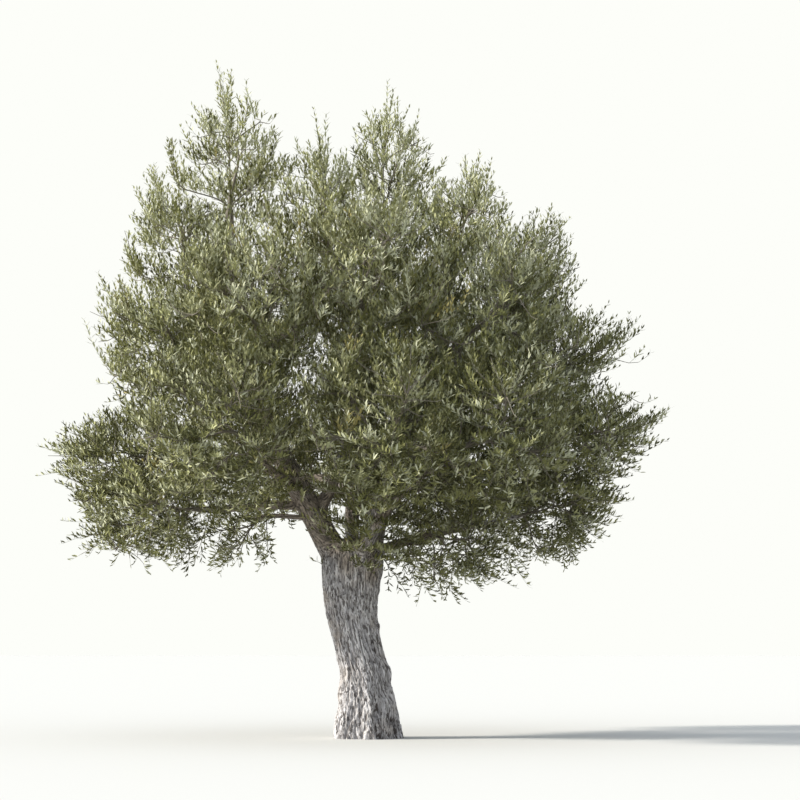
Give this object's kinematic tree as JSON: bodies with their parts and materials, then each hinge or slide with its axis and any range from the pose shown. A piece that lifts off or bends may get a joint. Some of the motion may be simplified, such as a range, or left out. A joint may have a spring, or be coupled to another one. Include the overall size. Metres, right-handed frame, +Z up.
{
  "type": "olive tree",
  "caption": "Old olive tree with a thick leaning trunk, a low fork and a full rounded crown with two raised lobes, rooted at a flat cut at ground level.",
  "frame": {"origin": "middle of the flat cut under the trunk, at ground level", "axes": "+Z up, +X to the right as seen from the front, +Y away from the front"},
  "size_m": [3.6, 3.0486, 3.8],
  "materials": {
    "bark": "dry grey bark with upright ridges and dark furrows, browner where the limbs fork",
    "foliage": "narrow leathery leaves, satin grey-green above and matt silver-green below, on grey twigs"
  },
  "bodies": {
    "root": {"trunk": "bark", "left_limb": "bark", "right_limb": "bark", "front_limb": "bark", "back_limb": "bark", "right_low_bough": "bark", "top_limb": "bark", "left_low_bough": "bark", "left_thin_bough": "bark", "left_side_bough": "bark", "left_upper_bough": "bark", "left_shoulder_bough": "bark", "right_side_bough": "bark", "right_upper_bough": "bark", "right_shoulder_bough": "bark", "right_inner_bough": "bark", "top_gap_bough": "bark", "front_left_low_bough": "bark", "front_left_high_bough": "bark", "front_centre_low_bough": "bark", "front_centre_high_bough": "bark", "front_right_high_bough": "bark", "back_left_low_bough": "bark", "back_left_high_bough": "bark", "back_centre_low_bough": "bark", "back_right_low_bough": "bark", "back_right_high_bough": "bark", "left_peak_foliage": "foliage", "right_peak_foliage": "foliage", "front_right_low_foliage": "foliage", "back_centre_high_foliage": "foliage", "right_skirt_foliage": "foliage", "top_centre_foliage": "foliage", "left_skirt_foliage": "foliage", "left_inner_foliage": "foliage", "left_side_foliage": "foliage", "left_upper_foliage": "foliage", "left_shoulder_foliage": "foliage", "right_side_foliage": "foliage", "right_upper_foliage": "foliage", "right_shoulder_foliage": "foliage", "right_inner_foliage": "foliage", "top_gap_foliage": "foliage", "front_left_low_foliage": "foliage", "front_left_high_foliage": "foliage", "front_centre_low_foliage": "foliage", "front_centre_high_foliage": "foliage", "front_right_high_foliage": "foliage", "back_left_low_foliage": "foliage", "back_left_high_foliage": "foliage", "back_centre_low_foliage": "foliage", "back_right_low_foliage": "foliage", "back_right_high_foliage": "foliage"}
  },
  "joints": []
}
